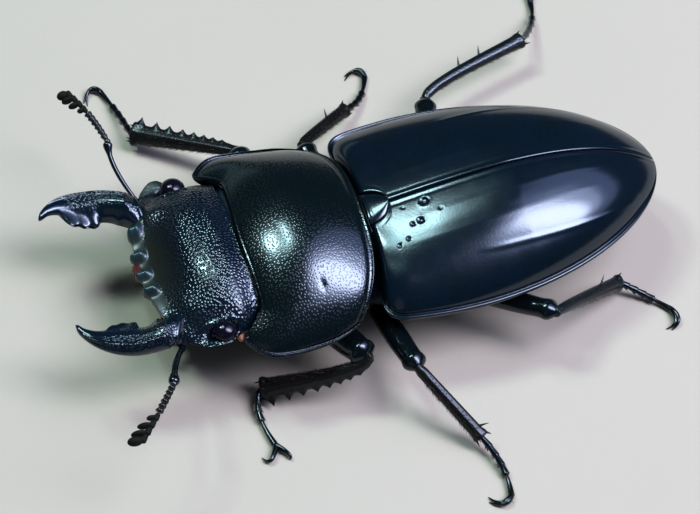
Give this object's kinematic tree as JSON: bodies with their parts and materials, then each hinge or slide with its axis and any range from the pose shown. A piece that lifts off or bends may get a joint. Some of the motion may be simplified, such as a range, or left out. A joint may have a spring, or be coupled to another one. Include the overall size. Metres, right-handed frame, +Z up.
{
  "type": "stag beetle",
  "caption": "Short-jawed male stag beetle standing on its feet, jaws open, feelers and legs spread, with a smooth blue-black shell.",
  "frame": {"origin": "on the floor, under the middle of the beetle's bounding box", "axes": "+Z up, the head towards -Y, +X towards the beetle's own left side"},
  "size_m": [0.042, 0.0422, 0.0097],
  "materials": {
    "elytra": "smooth satin-glossy blue-black shell",
    "body": "finely pitted blue-black shell",
    "jaw": "glossy blue-black horn",
    "leg": "glossy black shell",
    "eye": "polished black",
    "feeler": "satin dark brown-black",
    "club": "dull olive-brown with a fine down",
    "mouth": "reddish-brown, satin"
  },
  "bodies": {
    "root": {"head": "body", "labrum": "mouth", "pronotum": "body", "scutellum": "body", "thorax": "body", "abdomen": "body", "eye_left": "eye", "mandible_left": "jaw", "palp_left": "feeler", "scape_left": "feeler", "funicle_left": "feeler", "club_left": "club", "elytron_left": "elytra", "coxa_front_left": "leg", "femur_front_left": "leg", "tibia_front_left": "leg", "tarsus_front_left": "leg", "claws_front_left": "leg", "coxa_middle_left": "leg", "femur_middle_left": "leg", "tibia_middle_left": "leg", "tarsus_middle_left": "leg", "claws_middle_left": "leg", "coxa_hind_left": "leg", "femur_hind_left": "leg", "tibia_hind_left": "leg", "tarsus_hind_left": "leg", "claws_hind_left": "leg", "eye_right": "eye", "mandible_right": "jaw", "palp_right": "feeler", "scape_right": "feeler", "funicle_right": "feeler", "club_right": "club", "elytron_right": "elytra", "coxa_front_right": "leg", "femur_front_right": "leg", "tibia_front_right": "leg", "tarsus_front_right": "leg", "claws_front_right": "leg", "coxa_middle_right": "leg", "femur_middle_right": "leg", "tibia_middle_right": "leg", "tarsus_middle_right": "leg", "claws_middle_right": "leg", "coxa_hind_right": "leg", "femur_hind_right": "leg", "tibia_hind_right": "leg", "tarsus_hind_right": "leg", "claws_hind_right": "leg"}
  },
  "joints": []
}
